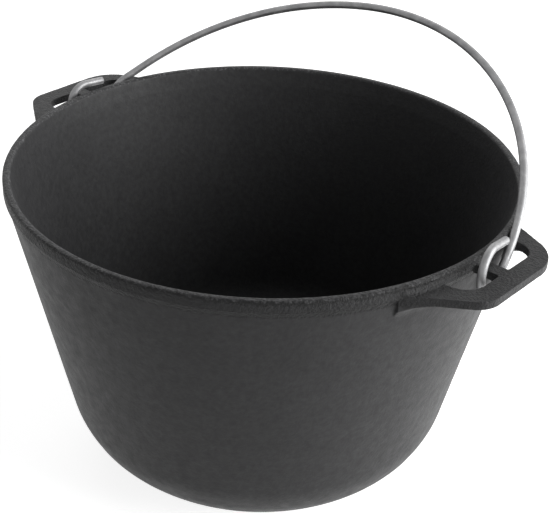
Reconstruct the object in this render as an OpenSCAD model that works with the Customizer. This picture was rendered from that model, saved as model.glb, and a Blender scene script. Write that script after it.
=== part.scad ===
// Cast iron cauldron: a round tapered bowl with a lug cast on each side and a steel wire bail
// that hooks into the two lugs. Millimetres. The origin is the middle of the base, +Z is up,
// the lugs lie along X, and the bail leans back over +Y against its stop.

/* [Bowl] */
// Outer radius of the rim band
rim_radius = 160.4; // [120:0.1:220]
// Height of the rim above the base
pot_height = 203.5; // [150:0.5:280]
// Thickness of the wall and of the base
wall = 6; // [3.5:0.1:7]
// Lean of the wall from upright, in degrees
wall_lean = 12.5; // [4:0.5:18]
// Outer radius of the round between wall and base
base_round = 58.8; // [25:0.1:70]
// Height of the raised band round the rim
band_height = 7.5; // [5:0.1:14]
// Height of the slope under the band
band_chamfer = 1.4; // [0.6:0.1:3]
// How far the band stands out from the wall below it
band_step = 1.3; // [0.8:0.1:3]
// Round on the outer edge of the rim
rim_round = 1.6; // [0.6:0.1:2.2]
// Round on the inner edge of the rim
rim_inner_round = 1.2; // [0.5:0.1:2]

/* [Lugs] */
// Reach of a lug from the rim band to its outer edge
lug_reach = 27.2; // [22:0.1:40]
// Half the width of a lug's front side at its outer edge, before its corner is rounded
front_half_width = 31.7; // [26:0.1:40]
// Flare of a lug's front side towards the bowl, in degrees
front_flare = 35.2; // [20:0.1:42]
// Radius of the front corner
front_corner = 16.1; // [6:0.1:20]
// The same width of the right lug's back side
right_back_half_width = 36.1; // [32:0.1:44]
// The same width of the left lug's back side
left_back_half_width = 35.9; // [32:0.1:44]
// Flare of a lug's back side, in degrees
back_flare = 24; // [10:0.1:32]
// Radius of the back corner, one large round
back_corner = 26.3; // [18:0.1:30]
// Fillet in plan where a lug's side meets the rim band
side_fillet = 5; // [2:0.1:8]
// Thickness of a lug
lug_thickness = 5.3; // [4:0.1:9]
// Depth of a lug's top face below the rim
lug_drop = 5; // [2.8:0.1:8]
// Radius of the fillet under a lug's ends
gusset_radius = 18; // [6:0.1:20]
// How far those fillets start beyond the slots
gusset_set_back = 1; // [0.5:0.1:3]
// Width of the web that the bail hooks round
web_width = 9.6; // [7:0.1:12]
// Width of the slots, from the rim band outwards
slot_width = 14.3; // [12:0.1:18]
// Radius of the slots' outer corners
slot_corner = 11; // [4:0.1:11.5]
// Radius of the outer corner of the right lug's front slot
right_front_corner = 13.5; // [4:0.1:14]
// Reach of the back slots from the middle of the web: it sets how far back the bail leans
back_slot_reach = 34.2; // [30:0.1:38]
// Reach of the left lug's front slot
left_front_reach = 31; // [27:0.1:36]
// Reach of the right lug's front slot
right_front_reach = 32.2; // [25:0.1:36]

/* [Bail] */
// Diameter of the wire
wire_d = 5; // [4:0.1:5.6]
// Height of the crown above the hinge line with the bail upright
bail_rise = 150.5; // [130:0.5:170]
// Distance of the crown from the middle, towards the right lug
crown_shift = 3.1; // [0:0.1:6]
// Radius to the middle of the wire of the eye's first bend, round the web
eye_radius = 14; // [13.6:0.1:15]
// Room between the arm and the stop that it leans on
stop_gap = 0.2; // [0.1:0.1:1]

/* [Right arm] */
// Turn of the crown's bend on the right, in degrees
right_crown_turn = 33.7; // [25:0.1:45]
// Outward slant of the right arm, in degrees
right_splay = 9.5; // [4:0.1:14]
// Straight length of the right arm above the eye
right_straight = 11.7; // [8:0.1:20]
// Room between the rim band and the right arm at the eye
right_arm_gap = 3.3; // [2.5:0.1:6]
// How far the right eye starts below the hinge line
right_eye_drop = 0; // [-0.5:0.1:1.5]

/* [Left arm] */
// Turn of the crown's bend on the left, in degrees
left_crown_turn = 11.3; // [6:0.1:20]
// Outward slant of the left arm's upper stretch, in degrees
left_splay = 24.7; // [18:0.1:28]
// Length of that upper stretch
left_straight = 16.4; // [12:0.1:22]
// Turn back inwards above the lug, in degrees
left_elbow_turn = 20; // [15:0.1:24]
// Radius of that turn
elbow_radius = 14.4; // [10:0.1:20]
// Straight length of the left arm above the eye
left_lower_straight = 26.7; // [22:0.1:32]
// Room between the rim band and the left arm at the eye
left_arm_gap = 4.7; // [3:0.1:7]
// How far the left eye starts below the hinge line
left_eye_drop = 0.8; // [-0.5:0.1:1.5]

/* [Eyes] */
// Turn of the right eye's first bend, in degrees
right_eye_turn = 117.2; // [105:0.1:135]
// Straight length between the right eye's bends
right_eye_straight = 2.1; // [0.5:0.1:4]
// Radius of the right eye's second bend
right_hook_radius = 12.8; // [11:0.1:14]
// Turn of the right eye's second bend, in degrees
right_hook_turn = 107.9; // [90:0.1:115]
// Straight length at the right eye's free end
right_tail = 17.4; // [6:0.1:18]
// Outward turn of the right eye, in degrees
right_eye_roll = 3.9; // [0:0.1:6]
// Turn of the left eye's first bend, in degrees
left_eye_turn = 132.6; // [120:0.1:140]
// Straight length between the left eye's bends
left_eye_straight = 0.4; // [0.2:0.1:3]
// Radius of the left eye's second bend
left_hook_radius = 11.2; // [10.5:0.1:13]
// Turn of the left eye's second bend, in degrees
left_hook_turn = 87.8; // [70:0.1:100]
// Straight length at the left eye's free end
left_tail = 14.6; // [5:0.1:16]
// Outward turn of the left eye, in degrees
left_eye_roll = -5.8; // [-8:0.1:2]

/* [Hidden] */
$fn = 96;

iron = [0.27, 0.27, 0.28];
zinc = [0.72, 0.73, 0.75];
wire_r = wire_d / 2;
// How far a cut or a joined piece runs past the face that it crosses
spare = 1;

// The hinge line runs through the middle of both webs.
lug_top = pot_height - lug_drop;
lug_bottom = lug_top - lug_thickness;
hinge_z = lug_top - lug_thickness / 2;

// The wall's outer line runs down from the foot of the slope under the band.
wall_slope = tan(wall_lean);
wall_top = pot_height - band_height - band_chamfer;
function wall_radius(z) = rim_radius - band_step - (wall_top - z) * wall_slope;

// The arm lies one eye radius behind the hinge line, and leans until it meets the slot's end.
stop_reach = norm([back_slot_reach, lug_thickness / 2]);
stop_angle = atan2(lug_thickness / 2, back_slot_reach);
rest_lean = acos((eye_radius + wire_r + stop_gap) / stop_reach) - stop_angle;

// Half outline of the bowl, moved inwards by inset. The round touches the wall's line and the base.
module bowl_half(inset, top) {
    round_r = base_round - inset;
    round_x = wall_radius(base_round) - base_round / cos(wall_lean);
    touch_x = round_x + round_r * cos(wall_lean);
    touch_z = base_round - round_r * sin(wall_lean);
    top_x = touch_x + (top - touch_z) * wall_slope;
    polygon([[0, inset], [round_x, inset], [touch_x, touch_z], [top_x, top], [0, top]]);
    intersection() {
        translate([round_x, base_round]) circle(round_r);
        square([touch_x + round_r, pot_height]);
    }
}

// Half outline of the raised band, with its rounded outer edge at the top.
module band_half() {
    low = pot_height - band_height;
    inner = rim_radius / 2;
    polygon([[inner, wall_top], [wall_radius(wall_top), wall_top], [rim_radius, low],
             [rim_radius, pot_height - rim_round], [rim_radius - rim_round, pot_height], [inner, pot_height]]);
    translate([rim_radius - rim_round, pot_height - rim_round]) circle(rim_round);
}

module bowl_outside() {
    rotate_extrude($fn = 180) {
        bowl_half(0, pot_height - band_height / 2);
        band_half();
    }
}

module pot() {
    mouth = wall_radius(pot_height) - wall / cos(wall_lean);
    color(iron) difference() {
        bowl_outside();
        rotate_extrude($fn = 180) bowl_half(wall, pot_height + spare);
        // The inner edge of the mouth is eased with a round.
        rotate_extrude($fn = 180) difference() {
            translate([0, pot_height - rim_inner_round]) square([mouth + rim_inner_round, rim_inner_round + spare]);
            translate([mouth + rim_inner_round, pot_height - rim_inner_round]) circle(rim_inner_round);
        }
    }
}

// Half outline of a lug on +X, on the side of +Y: straight outer edge, rounded corner, flared
// side and a fillet where the side meets the rim band. Two halves overlap a little at the middle.
module lug_half(half_width, flare, corner) {
    outer = rim_radius + lug_reach;
    root = rim_radius - lug_reach;
    corner_x = outer - corner;
    corner_y = half_width - corner * tan(45 - flare / 2);
    touch = [corner_x + corner * sin(flare), corner_y + corner * cos(flare)];
    root_y = half_width + (outer - root) * tan(flare);
    polygon([[root, -spare], [outer, -spare], [outer, corner_y], touch, [root, root_y]]);
    translate([corner_x, corner_y]) circle(corner);
    // The fillet's centre lies side_fillet off both the side's line and the rim band.
    across = [sin(flare), cos(flare)];
    off = outer * across[0] + half_width * across[1] + side_fillet;
    along = sqrt(pow(rim_radius + side_fillet, 2) - off * off);
    centre = [off * across[0] + along * across[1], off * across[1] - along * across[0]];
    on_side = centre - side_fillet * across;
    on_rim = centre * rim_radius / norm(centre);
    difference() {
        polygon([on_side, on_rim, on_rim * root / rim_radius, [root, root_y / 2]]);
        translate(centre) circle(side_fillet);
    }
}

module lug_outline(back_side, back_half_width) {
    on_side(back_side) lug_half(back_half_width, back_flare, back_corner);
    on_side(-back_side) lug_half(front_half_width, front_flare, front_corner);
}

// One slot of a lug on +X, on the side of +Y, from the web out to reach, with a rounded outer corner.
module slot_outline(reach, corner) {
    start = web_width / 2;
    inner = rim_radius - slot_width;
    outer = rim_radius + slot_width;
    translate([inner, start]) square([outer - corner - inner, reach - start]);
    translate([inner, start]) square([outer - inner, reach - corner - start]);
    translate([outer - corner, reach - corner]) circle(corner);
}

module on_side(side) {
    if (side > 0) children();
    if (side < 0) mirror([0, 1, 0]) children();
}

// Fillet under one end of a lug on +X, beyond the slot on the side of +Y. Its round dips a little
// into the wall, so that it ends there in a clean edge.
module gusset(reach) {
    dip = 0.3;
    low = lug_bottom - gusset_radius;
    foot = low + gusset_radius * sin(wall_lean);
    gusset_x = wall_radius(low) + (gusset_radius - dip) / cos(wall_lean);
    inner = wall_radius(low) - wall / 2;
    intersection() {
        rotate_extrude($fn = 180) difference() {
            translate([inner, foot]) square([gusset_x - inner, lug_bottom + lug_thickness / 2 - foot]);
            translate([gusset_x, low]) circle(gusset_radius);
        }
        translate([0, reach + gusset_set_back, low]) cube([gusset_x, gusset_x, 2 * gusset_radius]);
    }
}

// A lug on +X. The back slot lies on the side of +Y, or of -Y where back_side is -1.
module lug(back_side, back_half_width, front_reach, front_slot_corner) {
    low = lug_bottom - gusset_radius;
    top_fillet = lug_drop - rim_round;
    color(iron) difference() {
        union() {
            translate([0, 0, lug_bottom]) linear_extrude(lug_thickness) lug_outline(back_side, back_half_width);
            intersection() {
                translate([0, 0, low]) linear_extrude(pot_height - low) lug_outline(back_side, back_half_width);
                union() {
                    // Fillet between the lug's top face and the rim band.
                    rotate_extrude($fn = 180) difference() {
                        translate([rim_radius - spare, lug_top - spare]) square(top_fillet + spare);
                        translate([rim_radius + top_fillet, lug_top + top_fillet]) circle(top_fillet);
                    }
                    on_side(back_side) gusset(back_slot_reach);
                    on_side(-back_side) gusset(front_reach);
                }
            }
        }
        bowl_outside();
        translate([0, 0, low - spare]) linear_extrude(pot_height - low + 2 * spare) {
            on_side(back_side) slot_outline(back_slot_reach, slot_corner);
            on_side(-back_side) slot_outline(front_reach, front_slot_corner);
        }
    }
}

module lug_right() { lug(1, right_back_half_width, right_front_reach, right_front_corner); }
module lug_left() { rotate([0, 0, 180]) lug(-1, left_back_half_width, left_front_reach, slot_corner); }

// A wire bent step by step. A step is [bend radius, turn, roll] or [0, straight length, roll],
// and each starts where the last one ends, heading along +Z and bending towards +X.
// A ball hardly thicker than the wire joins one step to the next.
joint_gap = 0.05;
joint_r = wire_r + 0.02;
module wire(steps, i = 0) {
    if (i < len(steps)) {
        radius = steps[i][0];
        amount = steps[i][1];
        end_gap = i == len(steps) - 1 ? 0 : joint_gap;
        rotate([0, 0, steps[i][2]]) {
            if (radius > 0) {
                gap_turn = joint_gap / radius * 180 / PI;
                translate([radius, 0, 0]) rotate([90, 0, 180]) rotate([0, 0, gap_turn])
                    rotate_extrude(angle = amount - 2 * gap_turn) translate([radius, 0]) circle(wire_r, $fn = 32);
                translate([radius, 0, 0]) rotate([0, amount, 0]) translate([-radius, 0, 0]) {
                    sphere(joint_r, $fn = 32);
                    wire(steps, i + 1);
                }
            } else {
                translate([0, 0, joint_gap]) cylinder(r = wire_r, h = amount - joint_gap - end_gap, $fn = 32);
                translate([0, 0, amount]) {
                    if (end_gap > 0) sphere(joint_r, $fn = 32);
                    wire(steps, i + 1);
                }
            }
        }
    }
}

// Radii of the crown's and the shoulder's bends that carry the wire from the crown across by
// width and down by drop, when the crown turns by turn_a and both together by turn_b.
function bend_radii(width, drop, turn_a, turn_b) =
    let (a = sin(turn_a), b = sin(turn_b) - sin(turn_a), c = 1 - cos(turn_a), d = cos(turn_a) - cos(turn_b))
    let (scale = a * d - b * c)
    [(width * d - b * drop) / scale, (a * drop - width * c) / scale];

right_turn = 90 - right_splay;
right_width = rim_radius + right_arm_gap + wire_r - crown_shift - right_straight * cos(right_turn);
right_drop = bail_rise + right_eye_drop - right_straight * sin(right_turn);
right_radii = bend_radii(right_width, right_drop, right_crown_turn, right_turn);

left_turn = 90 - left_splay;
left_end_turn = left_turn + left_elbow_turn;
left_width = rim_radius + left_arm_gap + wire_r + crown_shift - left_straight * cos(left_turn)
    - elbow_radius * (sin(left_end_turn) - sin(left_turn)) - left_lower_straight * cos(left_end_turn);
left_drop = bail_rise + left_eye_drop - left_straight * sin(left_turn)
    - elbow_radius * (cos(left_turn) - cos(left_end_turn)) - left_lower_straight * sin(left_end_turn);
left_radii = bend_radii(left_width, left_drop, left_crown_turn, left_turn);

right_steps = [
    [right_radii[0], right_crown_turn, 0],
    [right_radii[1], right_turn - right_crown_turn, 0],
    [0, right_straight, 0],
    [eye_radius, right_eye_turn, -90 - right_eye_roll],
    [0, right_eye_straight, 0],
    [right_hook_radius, right_hook_turn, 0],
    [0, right_tail, 0]];
left_steps = [
    [left_radii[0], left_crown_turn, 0],
    [left_radii[1], left_turn - left_crown_turn, 0],
    [0, left_straight, 0],
    [elbow_radius, left_elbow_turn, 0],
    [0, left_lower_straight, 0],
    [eye_radius, left_eye_turn, -90 - left_eye_roll],
    [0, left_eye_straight, 0],
    [left_hook_radius, left_hook_turn, 0],
    [0, left_tail, 0]];

module bail() {
    color(zinc) translate([0, 0, hinge_z]) rotate([-rest_lean, 0, 0])
        translate([crown_shift, eye_radius, bail_rise]) {
            sphere(joint_r, $fn = 32);
            rotate([0, 90, 0]) wire(right_steps);
            mirror([1, 0, 0]) rotate([0, 90, 0]) wire(left_steps);
        }
}

pot();
lug_left();
lug_right();
bail();
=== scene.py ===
"""A cast iron cauldron with a steel wire bail, standing on a pale studio floor.

Lengths are in metres unless a name says otherwise. The origin is the middle of the base, +Z is
up, the lugs lie along X with the right lug nearer the camera, and the bail leans back over +Y.
"""

import math

import bmesh
import bpy
from mathutils import Matrix, Vector, noise

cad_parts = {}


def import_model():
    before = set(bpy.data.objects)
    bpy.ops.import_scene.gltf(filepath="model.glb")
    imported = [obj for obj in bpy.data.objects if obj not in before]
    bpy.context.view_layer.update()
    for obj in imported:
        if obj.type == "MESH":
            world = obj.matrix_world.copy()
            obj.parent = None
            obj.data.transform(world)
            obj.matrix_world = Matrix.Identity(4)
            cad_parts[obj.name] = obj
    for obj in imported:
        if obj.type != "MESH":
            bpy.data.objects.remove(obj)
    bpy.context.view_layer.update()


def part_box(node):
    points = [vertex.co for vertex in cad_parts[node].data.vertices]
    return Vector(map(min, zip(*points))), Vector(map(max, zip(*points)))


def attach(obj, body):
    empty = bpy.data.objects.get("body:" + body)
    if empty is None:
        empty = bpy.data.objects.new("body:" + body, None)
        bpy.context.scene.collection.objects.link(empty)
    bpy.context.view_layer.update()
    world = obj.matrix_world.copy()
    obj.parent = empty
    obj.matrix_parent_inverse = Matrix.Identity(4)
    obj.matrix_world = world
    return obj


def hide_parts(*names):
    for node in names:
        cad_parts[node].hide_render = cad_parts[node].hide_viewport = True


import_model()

MM = 0.001

# Main sizes, taken from the frame
rim_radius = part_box("pot")[1][1]
pot_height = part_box("pot")[1][2]
lug_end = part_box("lug_right")[1][0]

# Bowl
wall = 6.0 * MM
wall_lean = math.radians(12.5)
base_round = 58.8 * MM
band_height = 7.5 * MM
band_chamfer = 1.4 * MM
band_step = 1.3 * MM
rim_round = 1.6 * MM
rim_inner_round = 2.4 * MM
mouth_flare = 0.5 * MM
mouth_flare_height = 12.0 * MM

# Lugs
front_half_width = 31.7 * MM
front_flare = math.radians(35.2)
front_corner = 16.1 * MM
right_back_half_width = 36.1 * MM
left_back_half_width = 35.9 * MM
back_flare = math.radians(24)
back_corner = 26.3 * MM
side_fillet = 5.0 * MM
lug_thickness = 5.3 * MM
lug_drop = 5.0 * MM
web_width = 9.6 * MM
slot_width = 14.3 * MM
slot_corner = 11.0 * MM
right_front_corner = 13.5 * MM
back_slot_reach = 34.2 * MM
left_front_reach = 31.0 * MM
right_front_reach = 32.2 * MM
gusset_radius = 18.0 * MM
gusset_set_back = 1.0 * MM
lug_fan = math.radians(25)

# Bail
wire_radius = 2.5 * MM
bail_rise = 150.5 * MM
crown_shift = 3.1 * MM
eye_radius = 14.0 * MM
stop_gap = 0.2 * MM
elbow_radius = 14.4 * MM

wall_slope = math.tan(wall_lean)
wall_top = pot_height - band_height - band_chamfer
lug_top = pot_height - lug_drop
lug_bottom = lug_top - lug_thickness
hinge_z = lug_top - lug_thickness / 2


def wall_radius(z):
    """Outer radius of the wall at a height."""
    return rim_radius - band_step - (wall_top - z) * wall_slope


# Helpers for meshes

def new_object(name, mesh):
    piece = bpy.data.objects.new(name, mesh)
    bpy.context.scene.collection.objects.link(piece)
    return piece


def mesh_from(name, points, faces):
    mesh = bpy.data.meshes.new(name)
    mesh.from_pydata([tuple(p) for p in points], [], faces)
    mesh.update()
    return mesh


def rounded(corners, radii, step):
    """Points of an open outline whose inner corners are rounded. step is the length between points on a round."""
    points = [Vector(corners[0])]
    for before, corner, after, radius in zip(corners, corners[1:], corners[2:], radii):
        corner = Vector(corner)
        to_before = (Vector(before) - corner).normalized()
        to_after = (Vector(after) - corner).normalized()
        half = to_before.angle(to_after) / 2
        if radius == 0:
            points.append(corner)
            continue
        centre = corner + (to_before + to_after).normalized() * radius / math.sin(half)
        start = corner + to_before * radius / math.tan(half) - centre
        turn = start.angle_signed(corner + to_after * radius / math.tan(half) - centre)
        count = max(2, math.ceil(radius * abs(turn) / step))
        for k in range(count + 1):
            arm = start.copy()
            arm.rotate(Matrix.Rotation(-turn * k / count, 2))
            points.append(centre + arm)
    points.append(Vector(corners[-1]))
    return points


def divided(points, step):
    """The same outline with its long straight stretches cut into pieces no longer than step."""
    out = [points[0]]
    for a, b in zip(points, points[1:]):
        count = max(1, math.ceil((b - a).length / step))
        out += [a.lerp(b, k / count) for k in range(1, count + 1)]
    return out


def lathe(name, outline, segments):
    """A closed surface turned from an outline of (radius, height) whose two ends lie on the axis."""
    points = [(0, 0, outline[0].y), (0, 0, outline[-1].y)]
    rows = outline[1:-1]
    for r, z in rows:
        for k in range(segments):
            turn = 2 * math.pi * k / segments
            points.append((r * math.cos(turn), r * math.sin(turn), z))
    faces = []
    last = 2 + (len(rows) - 1) * segments
    for k in range(segments):
        n = (k + 1) % segments
        faces.append((0, 2 + n, 2 + k))
        faces.append((1, last + k, last + n))
        for row in range(len(rows) - 1):
            low = 2 + row * segments
            high = low + segments
            faces.append((low + k, low + n, high + n, high + k))
    return mesh_from(name, points, faces)


def prism(name, outline, low, high):
    """A closed prism over an outline of (x, y) points, from one height to another."""
    count = len(outline)
    points = [(p[0], p[1], z) for z in (low, high) for p in outline]
    faces = [tuple(range(count - 1, -1, -1)), tuple(range(count, 2 * count))]
    faces += [(k, (k + 1) % count, count + (k + 1) % count, count + k) for k in range(count)]
    mesh = mesh_from(name, points, faces)
    work = bmesh.new()
    work.from_mesh(mesh)
    bmesh.ops.recalc_face_normals(work, faces=work.faces)
    work.to_mesh(mesh)
    work.free()
    return mesh


def cut_or_join(piece, others, operation):
    """Joins other closed pieces to a closed piece, or cuts them away, and deletes them."""
    for other in others:
        step = piece.modifiers.new(operation, "BOOLEAN")
        step.operation = operation
        step.solver = "MANIFOLD"
        step.object = other
    settle(piece)
    for other in others:
        bpy.data.objects.remove(other)


def settle(piece):
    """Makes a piece's modifiers part of its mesh."""
    bpy.context.view_layer.update()
    done = bpy.data.meshes.new_from_object(piece.evaluated_get(bpy.context.evaluated_depsgraph_get()))
    piece.modifiers.clear()
    piece.data = done


def turned_ring(name, corners, half_angle, segments):
    """A closed piece of a ring about +Z, turned from a closed outline of (radius, height) about +X."""
    count = len(corners)
    points = []
    for k in range(segments + 1):
        turn = -half_angle + 2 * half_angle * k / segments
        points += [(r * math.cos(turn), r * math.sin(turn), z) for r, z in corners]
    faces = [tuple(range(count)), tuple(range(segments * count, (segments + 1) * count))]
    for k in range(segments):
        for i in range(count):
            n = (i + 1) % count
            faces.append((k * count + i, k * count + n, (k + 1) * count + n, (k + 1) * count + i))
    mesh = mesh_from(name, points, faces)
    work = bmesh.new()
    work.from_mesh(mesh)
    bmesh.ops.recalc_face_normals(work, faces=work.faces)
    work.to_mesh(mesh)
    work.free()
    return mesh


# The casting: bowl and lugs in one piece

def bowl():
    """The bowl with its band, slightly uneven as cast."""
    low = pot_height - band_height
    rise = wall / math.cos(wall_lean)
    mouth = wall_radius(pot_height) - rise + mouth_flare
    flare_start = pot_height - mouth_flare_height
    cove = wall_top - 1.6 * MM
    outline = [(0, 0), (wall_radius(0), 0), (wall_radius(cove), cove), (rim_radius, low + 0.4 * MM),
               (rim_radius, pot_height), (mouth, pot_height), (wall_radius(flare_start) - rise, flare_start),
               (wall_radius(wall) - rise, wall), (0, wall)]
    radii = [base_round, 5.0 * MM, 1.8 * MM, rim_round, rim_inner_round, 20 * MM, base_round - wall]
    outline = rounded(outline, radii, 0.35 * MM)
    outline = thinned(outline)
    piece = new_object("bowl", lathe("bowl", outline, 720))
    for v in piece.data.vertices:
        v.co -= unevenness(v.co)
    return piece


def thinned(points):
    """Leaves out points of large rounds, which need fewer than small ones."""
    out = [points[0]]
    for i, p in enumerate(points[1:-1], 1):
        gap = (p - out[-1]).length
        big = (points[i + 1] - p).length < 0.5 * MM and p.y < pot_height - 20 * MM
        if gap > (2.5 * MM if big else 0.1 * MM):
            out.append(p)
    out.append(points[-1])
    return divided(out, 3.0 * MM)


def unevenness(p):
    """How far the sand mould left a point inside the true shape: only ever inwards."""
    out = Vector((p.x, p.y, 0))
    if out.length < 20 * MM:
        return Vector((0, 0, 0))
    out.normalize()
    wide = 0.5 + 0.5 * noise.noise(p / (45 * MM))
    fine = 0.5 + 0.5 * noise.noise(p / (7 * MM))
    near_rim = max(0.0, 1 - abs(p.z - pot_height) / (12 * MM))
    inside = -1 if p.length and Vector((p.x, p.y)).length < wall_radius(p.z) - wall / 2 else 1
    return out * inside * (0.18 * wide + (0.05 + 0.12 * near_rim) * fine) * MM


def arc(centre, radius, start, end, step):
    """Points on a round, from one angle to another."""
    count = max(2, math.ceil(radius * abs(end - start) / step))
    angles = [start + (end - start) * k / count for k in range(count + 1)]
    return [Vector((centre[0] + radius * math.cos(a), centre[1] + radius * math.sin(a))) for a in angles]


def half_outline(half_width, flare, corner):
    """Outline of one side of a lug on +X: corner, flared side, fillet to the rim band and root."""
    corner_x = lug_end - corner
    corner_y = half_width - corner * math.tan(math.pi / 4 - flare / 2)
    across = Vector((math.sin(flare), math.cos(flare)))
    off = lug_end * across.x + half_width * across.y + side_fillet
    along = math.sqrt((rim_radius + side_fillet) ** 2 - off * off)
    centre = Vector((off * across.x + along * across.y, off * across.y - along * across.x))
    inwards = math.atan2(-centre.y, -centre.x) + 2 * math.pi
    points = arc((corner_x, corner_y), corner, 0, math.pi / 2 - flare, 1.0 * MM)
    points += arc(centre, side_fillet, 1.5 * math.pi - flare, inwards, 0.6 * MM)
    points.append(centre.normalized() * (rim_radius - slot_width))
    return points


def lug_outline(back_side, back_half_width):
    back = half_outline(back_half_width, back_flare, back_corner)
    front = half_outline(front_half_width, front_flare, front_corner)
    outline = [(x, -y) for x, y in reversed(front)] + [(x, y) for x, y in back]
    return [(x, back_side * y) for x, y in outline]


def slot(side, reach, corner):
    """A prism to cut one slot of a lug on +X. side is 1 towards +Y or -1 towards -Y."""
    start = web_width / 2
    inner, outer = rim_radius - slot_width, rim_radius + slot_width
    corners = [(inner, start), (outer, start), (outer, reach), (inner, reach)]
    outline = [(x, side * y) for x, y in rounded(corners, [0, corner], 0.8 * MM)]
    return new_object("slot", prism("slot", outline, lug_bottom - 20 * MM, pot_height + 10 * MM))


def top_fillet():
    """A fillet ring between the top of the lug and the rim band."""
    size = lug_drop - rim_round
    inner, low = rim_radius - 2 * MM, lug_top - 1 * MM
    centre = (rim_radius + size, lug_top + size)
    corners = [(inner, low), (inner, centre[1])] + arc(centre, size, math.pi, 1.5 * math.pi, 0.4 * MM)
    corners.append((centre[0], low))
    return new_object("top_fillet", turned_ring("top_fillet", corners, lug_fan, 80))


def gusset():
    """A fillet ring between the underside of the lug and the wall."""
    dip = 0.3 * MM
    low = lug_bottom - gusset_radius
    centre = (wall_radius(low) + (gusset_radius - dip) / math.cos(wall_lean), low)
    round_points = arc(centre, gusset_radius, math.pi - wall_lean, math.pi / 2, 0.8 * MM)
    inner, top = wall_radius(low) - 2 * MM, lug_bottom + lug_thickness / 2
    corners = [(inner, round_points[0].y)] + round_points + [(centre[0], top), (inner, top)]
    return new_object("gusset", turned_ring("gusset", corners, lug_fan, 80))


def collar():
    """A slice of the band and the wall, just under their surface, so that the lug's rounds run into them."""
    sink, deep = 0.6 * MM, 3.5 * MM
    low = lug_bottom - gusset_radius - 12 * MM
    corners = [(wall_radius(low) - sink, low), (wall_radius(wall_top) - sink, wall_top),
               (rim_radius - sink, wall_top + band_chamfer), (rim_radius - sink, pot_height - rim_round - sink),
               (rim_radius - deep, pot_height - rim_round - sink), (wall_radius(low) - deep, low)]
    return new_object("collar", turned_ring("collar", corners, lug_fan, 80))


def soften_root(piece):
    """Rounds a lug more where it grows out of the bowl."""
    group = piece.vertex_groups.new(name="root")
    for v in piece.data.vertices:
        distance = math.hypot(v.co.x, v.co.y) - rim_radius
        weight = min(1.0, max(0.0, 1.0 - (distance - 2.0 * MM) / (3.0 * MM)))
        group.add([v.index], weight, "REPLACE")
    smoother = piece.modifiers.new("root_rounds", "SMOOTH")
    smoother.factor = 0.5
    smoother.iterations = 16
    smoother.vertex_group = "root"
    settle(piece)


def lug(name, back_side, back_half_width, front_reach, front_slot_corner):
    """A lug on +X with cast rounds and fillets, ready to be joined to the bowl.

    The back slot lies on the side of +Y, or of -Y where back_side is -1."""
    outline = lug_outline(back_side, back_half_width)
    piece = new_object(name, prism(name, outline, lug_bottom, lug_top))
    under = gusset()
    ends = [-back_side * (front_reach + gusset_set_back), back_side * (back_slot_reach + gusset_set_back)]
    middle = [(0, ends[0]), (lug_end, ends[0]), (lug_end, ends[1]), (0, ends[1])]
    cut_or_join(under, [new_object("gap", prism("gap", middle, 0, pot_height))], "DIFFERENCE")
    rounds = [top_fillet(), under]
    for part in rounds:
        outside = new_object("outside", prism("outside", outline, 0, pot_height + 20 * MM))
        cut_or_join(part, [outside], "INTERSECT")
    cut_or_join(piece, rounds, "UNION")
    slots = [slot(back_side, back_slot_reach, slot_corner), slot(-back_side, front_reach, front_slot_corner)]
    cut_or_join(piece, slots, "DIFFERENCE")
    cut_or_join(piece, [collar()], "UNION")

    mesher = piece.modifiers.new("skin", "REMESH")
    mesher.mode = "VOXEL"
    mesher.voxel_size = 0.5 * MM
    smoother = piece.modifiers.new("rounds", "SMOOTH")
    smoother.factor = 0.5
    smoother.iterations = 4
    settle(piece)
    soften_root(piece)

    # What lies deeper than the middle of the wall would show inside the bowl.
    middle_depth = wall / math.cos(wall_lean) / 2
    low, high = lug_bottom - 50 * MM, pot_height + 20 * MM
    core = [(0, low), (wall_radius(low) - middle_depth, low), (wall_radius(high) - middle_depth, high), (0, high)]
    core = [Vector(p) for p in core]
    cut_or_join(piece, [new_object("core", lathe("core", core, 360))], "DIFFERENCE")
    return piece


def rough_cast(piece, amount):
    """Pushes a piece's points inwards by a fine noise, as sand leaves a casting."""
    mesh = piece.data
    normals = [v.normal.copy() for v in mesh.vertices]
    for v, normal in zip(mesh.vertices, normals):
        lump = 0.5 + 0.5 * noise.noise(v.co / (5 * MM))
        grain = 0.5 + 0.5 * noise.noise(v.co / (1.6 * MM))
        v.co -= normal * amount * (0.7 * lump + 0.3 * grain)


def casting():
    """Bowl and lugs joined into one closed piece."""
    right = lug("lug_right_skin", 1, right_back_half_width, right_front_reach, right_front_corner)
    left = lug("lug_left_skin", -1, left_back_half_width, left_front_reach, slot_corner)
    left.data.transform(Matrix.Rotation(math.pi, 4, "Z"))
    for piece in (right, left):
        rough_cast(piece, 0.25 * MM)
    piece = bowl()
    cut_or_join(piece, [right, left], "UNION")
    piece.name = "casting"
    piece.data.shade_smooth()
    piece.data.materials.clear()
    piece.data.materials.append(iron_material())
    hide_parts("pot", "lug_left", "lug_right")
    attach(piece, "pot")
    return piece


# The bail

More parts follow.
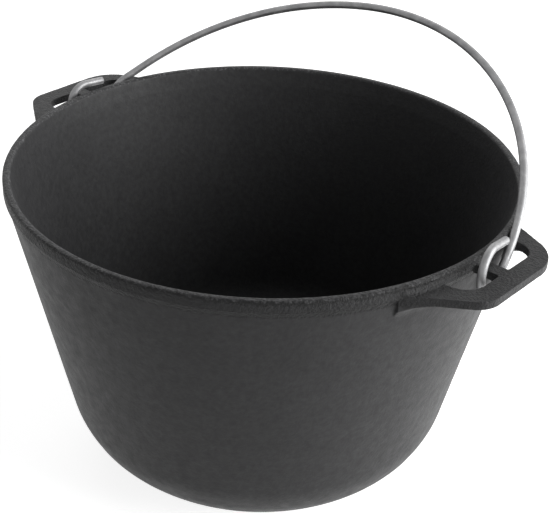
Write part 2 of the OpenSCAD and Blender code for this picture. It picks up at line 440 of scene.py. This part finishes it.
def wire_path(steps):
    """Points along a bent wire that starts at the origin, heading along +Z and bending towards +X.

    A step is (bend radius, turn in radians, roll in radians) or (0, straight length, roll)."""
    place = Matrix.Identity(4)
    points = [Vector((0, 0, 0))]
    for radius, amount, roll in steps:
        place = place @ Matrix.Rotation(roll, 4, "Z")
        if radius > 0:
            count = max(6, math.ceil(amount * radius / (1.2 * MM)))
            count = min(count, max(24, math.ceil(amount / math.radians(1.2))))
            for k in range(1, count + 1):
                a = amount * k / count
                points.append(place @ Vector((radius * (1 - math.cos(a)), 0, radius * math.sin(a))))
            place = (place @ Matrix.Translation((radius, 0, 0)) @ Matrix.Rotation(amount, 4, "Y")
                     @ Matrix.Translation((-radius, 0, 0)))
        else:
            count = max(1, math.ceil(amount / (2 * MM)))
            points += [place @ Vector((0, 0, amount * k / count)) for k in range(1, count + 1)]
            place = place @ Matrix.Translation((0, 0, amount))
    return points


def bend_radii(width, drop, turn_a, turn_b):
    """Radii of the crown's and the shoulder's bends that carry the wire across by width and down by drop."""
    a, b = math.sin(turn_a), math.sin(turn_b) - math.sin(turn_a)
    c, d = 1 - math.cos(turn_a), math.cos(turn_a) - math.cos(turn_b)
    scale = a * d - b * c
    return (width * d - b * drop) / scale, (a * drop - width * c) / scale


def right_arm():
    splay, crown_turn, straight, gap = math.radians(9.5), math.radians(33.7), 11.7 * MM, 3.3 * MM
    turn = math.pi / 2 - splay
    width = rim_radius + gap + wire_radius - crown_shift - straight * math.cos(turn)
    crown, shoulder = bend_radii(width, bail_rise - straight * math.sin(turn), crown_turn, turn)
    return wire_path([
        (crown, crown_turn, 0),
        (shoulder, turn - crown_turn, 0),
        (0, straight, 0),
        (eye_radius, math.radians(117.2), math.radians(-90 - 3.9)),
        (0, 2.1 * MM, 0),
        (12.8 * MM, math.radians(107.9), 0),
        (0, 17.4 * MM, 0)])


def left_arm():
    splay, crown_turn, straight, gap = math.radians(24.7), math.radians(11.3), 16.4 * MM, 4.7 * MM
    elbow_turn, lower, drop_more = math.radians(20), 26.7 * MM, 0.8 * MM
    turn = math.pi / 2 - splay
    end = turn + elbow_turn
    width = (rim_radius + gap + wire_radius + crown_shift - straight * math.cos(turn)
             - elbow_radius * (math.sin(end) - math.sin(turn)) - lower * math.cos(end))
    drop = (bail_rise + drop_more - straight * math.sin(turn)
            - elbow_radius * (math.cos(turn) - math.cos(end)) - lower * math.sin(end))
    crown, shoulder = bend_radii(width, drop, crown_turn, turn)
    return wire_path([
        (crown, crown_turn, 0),
        (shoulder, turn - crown_turn, 0),
        (0, straight, 0),
        (elbow_radius, elbow_turn, 0),
        (0, lower, 0),
        (eye_radius, math.radians(132.6), math.radians(-90 + 5.8)),
        (0, 0.4 * MM, 0),
        (11.2 * MM, math.radians(87.8), 0),
        (0, 14.6 * MM, 0)])


def tube(name, path, radius, sides):
    """A closed round wire along a path, with slightly rounded cut ends."""
    tangents = [(b - a).normalized() for a, b in zip(path, path[1:])]
    tangents = [tangents[0]] + [(a + b).normalized() for a, b in zip(tangents, tangents[1:])] + [tangents[-1]]
    side = tangents[0].orthogonal().normalized()
    edge = 0.35 * MM
    rings = []
    for i, (p, t) in enumerate(zip(path, tangents)):
        side = (side - t * side.dot(t)).normalized()
        up = t.cross(side)
        sizes = [(0, radius)]
        if i == 0:
            sizes = [(0, radius - edge), (0.3 * edge, radius - 0.3 * edge), (edge, radius)]
        if i == len(path) - 1:
            sizes = [(-edge, radius), (-0.3 * edge, radius - 0.3 * edge), (0, radius - edge)]
        for shift, size in sizes:
            rings.append([p + t * shift + (side * math.cos(a) + up * math.sin(a)) * size
                          for a in (2 * math.pi * k / sides for k in range(sides))])
    points = [p for ring in rings for p in ring]
    faces = [tuple(range(sides - 1, -1, -1))]
    for row in range(len(rings) - 1):
        low = row * sides
        faces += [(low + k, low + (k + 1) % sides, low + sides + (k + 1) % sides, low + sides + k)
                  for k in range(sides)]
    last = (len(rings) - 1) * sides
    faces.append(tuple(range(last, last + sides)))
    return mesh_from(name, points, faces)


def bail():
    """The wire handle, leaning back until its arms meet the ends of the back slots."""
    stop_reach = math.hypot(back_slot_reach, lug_thickness / 2)
    stop_angle = math.atan2(lug_thickness / 2, back_slot_reach)
    lean = math.acos((eye_radius + wire_radius + stop_gap) / stop_reach) - stop_angle
    place = (Matrix.Translation((0, 0, hinge_z)) @ Matrix.Rotation(-lean, 4, "X")
             @ Matrix.Translation((crown_shift, eye_radius, bail_rise)))
    to_side = Matrix.Rotation(math.pi / 2, 4, "Y")
    flip = Matrix.Scale(-1, 4, (1, 0, 0))
    right = [place @ to_side @ p for p in right_arm()]
    left = [place @ flip @ to_side @ p for p in left_arm()]
    piece = new_object("bail_wire", tube("bail_wire", left[::-1] + right[1:], wire_radius, 28))
    piece.data.shade_smooth()
    piece.data.materials.append(zinc_material())
    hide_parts("bail")
    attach(piece, "bail")
    return piece


# Materials

def new_material(name):
    material = bpy.data.materials.new(name)
    material.use_nodes = True
    nodes, links = material.node_tree.nodes, material.node_tree.links
    return material, nodes, links, nodes["Principled BSDF"]


def noise_node(nodes, links, coords, scale, detail, roughness=0.5):
    node = nodes.new("ShaderNodeTexNoise")
    node.inputs["Scale"].default_value = scale
    node.inputs["Detail"].default_value = detail
    node.inputs["Roughness"].default_value = roughness
    links.new(coords, node.inputs["Vector"])
    return node.outputs["Fac"]


def ramp_node(nodes, links, source, stops):
    node = nodes.new("ShaderNodeValToRGB")
    while len(node.color_ramp.elements) < len(stops):
        node.color_ramp.elements.new(0.5)
    for element, (place, value) in zip(node.color_ramp.elements, stops):
        element.position = place
        element.color = (*value, 1) if isinstance(value, tuple) else (value, value, value, 1)
    links.new(source, node.inputs["Fac"])
    return node.outputs["Color"]


def bump_node(nodes, links, height, strength, distance, normal=None):
    node = nodes.new("ShaderNodeBump")
    node.inputs["Strength"].default_value = strength
    node.inputs["Distance"].default_value = distance
    links.new(height, node.inputs["Height"])
    if normal is not None:
        links.new(normal, node.inputs["Normal"])
    return node.outputs["Normal"]


def math_node(nodes, links, operation, a, b):
    node = nodes.new("ShaderNodeMath")
    node.operation = operation
    for socket, value in zip(node.inputs, (a, b)):
        if isinstance(value, float):
            socket.default_value = value
        else:
            links.new(value, socket)
    return node.outputs["Value"]


def fade(nodes, links, value, start, end, low=0.0, high=1.0):
    """A smooth change from low to high as a value goes from start to end."""
    node = nodes.new("ShaderNodeMapRange")
    node.interpolation_type = "SMOOTHSTEP"
    links.new(value, node.inputs["Value"])
    for name, number in (("From Min", start), ("From Max", end), ("To Min", low), ("To Max", high)):
        node.inputs[name].default_value = number
    return node.outputs["Result"]


def tint(nodes, links, color, factor):
    """A colour made darker by a factor."""
    node = nodes.new("ShaderNodeVectorMath")
    node.operation = "SCALE"
    links.new(color, node.inputs[0])
    links.new(factor, node.inputs["Scale"])
    return node.outputs["Vector"]


def iron_material():
    """Bare grey-black cast iron, satin and finely sanded. Painted light and shade: a dark line under the crest, a
    dark cove under the band, dark web corners, a shadow behind the arms, darker outward faces and a highlight along
    the crest.
    """
    material, nodes, links, shader = new_material("cast_iron")
    coords = nodes.new("ShaderNodeTexCoord").outputs["Object"]
    split = nodes.new("ShaderNodeSeparateXYZ")
    links.new(coords, split.inputs["Vector"])
    x, y, z = (split.outputs[name] for name in "XYZ")
    radius = math_node(nodes, links, "SQRT", math_node(nodes, links, "ADD", math_node(nodes, links, "MULTIPLY", x, x),
                                                       math_node(nodes, links, "MULTIPLY", y, y)), 0.0)

    # The raised band is duller than the wall, and painted shade lays a ragged dark line along its upper edge, just
    # under the crest, as the lip's shadow.
    grit = noise_node(nodes, links, coords, 420, 3, 0.6)
    ragged = math_node(nodes, links, "ADD", z, fade(nodes, links, grit, 0.3, 0.7, -1.1 * MM, 1.1 * MM))
    outside = fade(nodes, links, radius, rim_radius - 2.2 * MM, rim_radius - 1.2 * MM)
    over = fade(nodes, links, ragged, pot_height - 3.0 * MM, pot_height - 2.0 * MM)
    under = fade(nodes, links, ragged, pot_height - 0.9 * MM, pot_height - 0.3 * MM, 1.0, 0.0)
    lip_shade = math_node(nodes, links, "MULTIPLY", outside, math_node(nodes, links, "MULTIPLY", over, under))
    near_top = fade(nodes, links, z, wall_top - 4.0 * MM, wall_top - 1.5 * MM)
    beyond_wall = fade(nodes, links, radius, rim_radius - 5 * MM, rim_radius - 3 * MM)
    raised = math_node(nodes, links, "MULTIPLY", near_top, beyond_wall)
    band = math_node(nodes, links, "MULTIPLY", raised,
                     fade(nodes, links, radius, rim_radius + 0.3 * MM, rim_radius + 2.0 * MM, 1.0, 0.0))
    # Painted shade in the cove where the band meets the wall.
    cove = math_node(nodes, links, "MULTIPLY", band, fade(nodes, links, z, wall_top + 1.5 * MM, wall_top + 2.5 * MM, 1.0, 0.0))

    # A painted highlight runs along the crest, speckled, and painted shade darkens the corner between each web and
    # the rim.
    crest = math_node(nodes, links, "MULTIPLY", fade(nodes, links, ragged, pot_height - 1.0 * MM, pot_height - 0.4 * MM),
                      fade(nodes, links, radius, rim_radius - 7 * MM, rim_radius - 5 * MM))
    corner = math_node(nodes, links, "MULTIPLY",
                       fade(nodes, links, math_node(nodes, links, "ABSOLUTE", y, 0.0), 5 * MM, 13 * MM, 1.0, 0.0),
                       fade(nodes, links, radius, rim_radius + 2 * MM, rim_radius + 9 * MM, 1.0, 0.0))
    corner_shade = math_node(nodes, links, "MULTIPLY", corner,
                     math_node(nodes, links, "MULTIPLY", raised, fade(nodes, links, z, lug_top - 0.5 * MM, lug_top + 3 * MM, 1.0, 0.0)))

    # Faces that look inwards are painted paler and faces that look outwards darker: painted light and shade.
    flat = nodes.new("ShaderNodeCombineXYZ")
    links.new(x, flat.inputs["X"])
    links.new(y, flat.inputs["Y"])
    along = nodes.new("ShaderNodeVectorMath")
    along.operation = "DOT_PRODUCT"
    links.new(flat.outputs["Vector"], along.inputs[0])
    links.new(nodes.new("ShaderNodeTexCoord").outputs["Normal"], along.inputs[1])
    facing = math_node(nodes, links, "DIVIDE", along.outputs["Value"], radius)

    # Painted shadow darkens the wall behind the resting arms, under each lug; the roughness is raised there too.
    beside = math_node(nodes, links, "MULTIPLY",
                       math_node(nodes, links, "MULTIPLY", fade(nodes, links, y, -6 * MM, 14 * MM),
                                 fade(nodes, links, y, 22 * MM, 46 * MM, 1.0, 0.0)),
                       fade(nodes, links, z, lug_bottom - 38 * MM, lug_bottom - 8 * MM))
    below = math_node(nodes, links, "MULTIPLY",
                      fade(nodes, links, z, lug_top - 0.5 * MM, lug_top + 3 * MM, 1.0, 0.0),
                      fade(nodes, links, radius, rim_radius + 0.5 * MM, rim_radius + 2.0 * MM, 1.0, 0.0))
    shade_behind_arms = math_node(nodes, links, "MULTIPLY", math_node(nodes, links, "MULTIPLY", beside, below),
                       fade(nodes, links, facing, 0.2, 0.6))

    tone = ramp_node(nodes, links, noise_node(nodes, links, coords, 300, 4),
                     [(0.3, (0.026, 0.026, 0.027)), (0.7, (0.0385, 0.0385, 0.0395))])
    tone = tint(nodes, links, tone, fade(nodes, links, noise_node(nodes, links, coords, 22, 3), 0.3, 0.7, 0.93, 1.07))
    tone = tint(nodes, links, tone, fade(nodes, links, band, 0.0, 1.0, 1.0, 0.8))
    # Painted shade: the dark line just under the crest.
    tone = tint(nodes, links, tone, fade(nodes, links, lip_shade, 0.0, 1.0, 1.0, 0.33))
    speckle = fade(nodes, links, noise_node(nodes, links, coords, 700, 2, 0.6), 0.42, 0.62, 1.1, 3.0)
    # Painted highlight, speckled, along the crest.
    crest_highlight = math_node(nodes, links, "MULTIPLY", crest, math_node(nodes, links, "SUBTRACT", speckle, 1.0))
    tone = tint(nodes, links, tone, math_node(nodes, links, "ADD", crest_highlight, 1.0))
    # Painted shade in the corners between the webs and the rim.
    tone = tint(nodes, links, tone, fade(nodes, links, corner_shade, 0.0, 1.0, 1.0, 0.1))
    # Painted shadow on the wall behind the arms.
    tone = tint(nodes, links, tone, fade(nodes, links, shade_behind_arms, 0.0, 1.0, 1.0, 0.3))
    # Painted light on inward faces and painted shade on outward ones.
    tone = tint(nodes, links, tone, fade(nodes, links, facing, -0.25, 0.1, 1.15, 0.88))
    # Painted shade in the cove under the band.
    tone = tint(nodes, links, tone, fade(nodes, links, cove, 0.0, 1.0, 1.0, 0.45))
    links.new(tone, shader.inputs["Base Color"])
    gloss = ramp_node(nodes, links, noise_node(nodes, links, coords, 160, 4), [(0.3, 0.44), (0.7, 0.56)])
    gloss = math_node(nodes, links, "ADD", gloss, fade(nodes, links, shade_behind_arms, 0.0, 1.0, 0.0, 0.4))
    links.new(gloss, shader.inputs["Roughness"])
    shader.inputs["Specular IOR Level"].default_value = 0.2

    # Rim and lugs are rougher than the sanded walls.
    rough = fade(nodes, links, raised, 0.0, 1.0, 0.14, 1.0)
    sand = math_node(nodes, links, "SUBTRACT", noise_node(nodes, links, coords, 560, 4, 0.6), 0.5)
    coarse = bump_node(nodes, links, math_node(nodes, links, "MULTIPLY", sand, rough), 1.0, 0.0012)
    fine = bump_node(nodes, links, noise_node(nodes, links, coords, 1300, 2), 0.15, 0.0002, coarse)
    links.new(fine, shader.inputs["Normal"])
    return material


def zinc_material():
    """Dull zinc-plated steel wire, slightly blotched."""
    material, nodes, links, shader = new_material("zinc_wire")
    coords = nodes.new("ShaderNodeTexCoord").outputs["Object"]
    tone = ramp_node(nodes, links, noise_node(nodes, links, coords, 160, 4),
                     [(0.35, (0.25, 0.25, 0.255)), (0.65, (0.34, 0.34, 0.345))])
    links.new(tone, shader.inputs["Base Color"])
    shader.inputs["Metallic"].default_value = 0.7
    gloss = ramp_node(nodes, links, noise_node(nodes, links, coords, 300, 3), [(0.3, 0.44), (0.7, 0.56)])
    links.new(gloss, shader.inputs["Roughness"])
    grain = bump_node(nodes, links, noise_node(nodes, links, coords, 900, 2), 0.3, 0.0002)
    links.new(grain, shader.inputs["Normal"])
    return material


# Studio

def camera():
    """The camera at the photograph's viewing angle, about 79 cm from the middle of the rim."""
    distance = 786.1 * MM
    above = math.radians(26.34)
    side = math.radians(41.09)
    pan, tilt, roll = math.radians(0.58), math.radians(-4.13), math.radians(-1.90)
    lens_pixels, image_width, sensor = 1262.5, 550, 36.0

    aim = Vector((0, 0, 202.0 * MM))
    flat = distance * math.cos(above)
    place = aim + Vector((flat * math.sin(side), -flat * math.cos(side), distance * math.sin(above)))
    forward = (aim - place).normalized()
    right = forward.cross(Vector((0, 0, 1))).normalized()
    up = right.cross(forward)
    right, forward = (math.cos(pan) * right - math.sin(pan) * forward,
                      math.sin(pan) * right + math.cos(pan) * forward)
    up, forward = (math.cos(tilt) * up - math.sin(tilt) * forward,
                   math.sin(tilt) * up + math.cos(tilt) * forward)
    right, up = (math.cos(roll) * right - math.sin(roll) * up,
                 math.sin(roll) * right + math.cos(roll) * up)

    data = bpy.data.cameras.new("camera")
    data.sensor_fit = "HORIZONTAL"
    data.sensor_width = sensor
    data.lens = lens_pixels * sensor / image_width
    data.clip_end = 50
    turn = Matrix((right, up, -forward)).transposed().to_4x4()
    piece = new_object("camera", data)
    piece.matrix_world = Matrix.Translation(place) @ turn
    bpy.context.scene.camera = piece
    return piece


def lamp(name, place, target, size, power, size_y=None):
    data = bpy.data.lights.new(name, "AREA")
    data.shape = "RECTANGLE" if size_y else "SQUARE"
    data.size = size
    if size_y:
        data.size_y = size_y
    data.energy = power
    piece = new_object(name, data)
    piece.location = place
    piece.rotation_euler = (Vector(target) - Vector(place)).to_track_quat("-Z", "Y").to_euler()
    return piece


def in_view(right, near, up):
    """A place given from the camera's side: metres to the right, towards the camera and up."""
    side = math.radians(41.09)
    across = Vector((math.cos(side), math.sin(side), 0))
    towards = Vector((math.sin(side), -math.cos(side), 0))
    return across * right + towards * near + Vector((0, 0, up))


def lights():
    middle = (0, 0, 0.12)
    lamp("right_softbox", in_view(1.4, 0.27, 0.6), middle, 1.5, 37, 1.2)
    lamp("back_softbox", in_view(-0.2, -1.5, 1.1), middle, 1.6, 6, 0.8)


def seen_directly(nodes, links):
    """1 where the camera, a reflection or a clear body shows the surface, and 0 where it lights something."""
    path = nodes.new("ShaderNodeLightPath")
    value = path.outputs["Is Camera Ray"]
    for kind in ("Is Glossy Ray", "Is Transmission Ray"):
        either = nodes.new("ShaderNodeMath")
        either.operation = "MAXIMUM"
        links.new(value, either.inputs[0])
        links.new(path.outputs[kind], either.inputs[1])
        value = either.outputs["Value"]
    return value


def world():
    """An even grey studio that the camera sees as white."""
    data = bpy.data.worlds.new("studio")
    bpy.context.scene.world = data
    data.use_nodes = True
    nodes, links = data.node_tree.nodes, data.node_tree.links
    nodes.clear()
    out = nodes.new("ShaderNodeOutputWorld")
    seen = nodes.new("ShaderNodeBackground")
    seen.inputs["Color"].default_value = (1, 1, 1, 1)
    seen.inputs["Strength"].default_value = 1.0
    lit = nodes.new("ShaderNodeBackground")
    lit.inputs["Color"].default_value = (1, 1, 1, 1)
    lit.inputs["Strength"].default_value = 0.1
    mix = nodes.new("ShaderNodeMixShader")
    links.new(seen_directly(nodes, links), mix.inputs["Fac"])
    links.new(lit.outputs["Background"], mix.inputs[1])
    links.new(seen.outputs["Background"], mix.inputs[2])
    links.new(mix.outputs["Shader"], out.inputs["Surface"])


def floor():
    """A wide white floor that shows as white, darkened only where the pot shades it."""
    half = 4.0
    points = [(-half, -half, 0), (half, -half, 0), (half, half, 0), (-half, half, 0)]
    piece = new_object("floor", mesh_from("floor", points, [(0, 1, 2, 3)]))
    material, nodes, links, shader = new_material("floor_white")
    shader.inputs["Base Color"].default_value = (0.8, 0.8, 0.8, 1)
    shader.inputs["Roughness"].default_value = 0.9
    lift = nodes.new("ShaderNodeEmission")
    lift.inputs["Strength"].default_value = 0.85
    both = nodes.new("ShaderNodeAddShader")
    links.new(shader.outputs["BSDF"], both.inputs[0])
    links.new(lift.outputs["Emission"], both.inputs[1])
    mix = nodes.new("ShaderNodeMixShader")
    links.new(seen_directly(nodes, links), mix.inputs["Fac"])
    links.new(shader.outputs["BSDF"], mix.inputs[1])
    links.new(both.outputs["Shader"], mix.inputs[2])
    links.new(mix.outputs["Shader"], nodes["Material Output"].inputs["Surface"])
    piece.data.materials.append(material)
    return piece


bpy.context.scene.view_settings.view_transform = "Standard"
camera()
casting()
bail()
world()
floor()
lights()
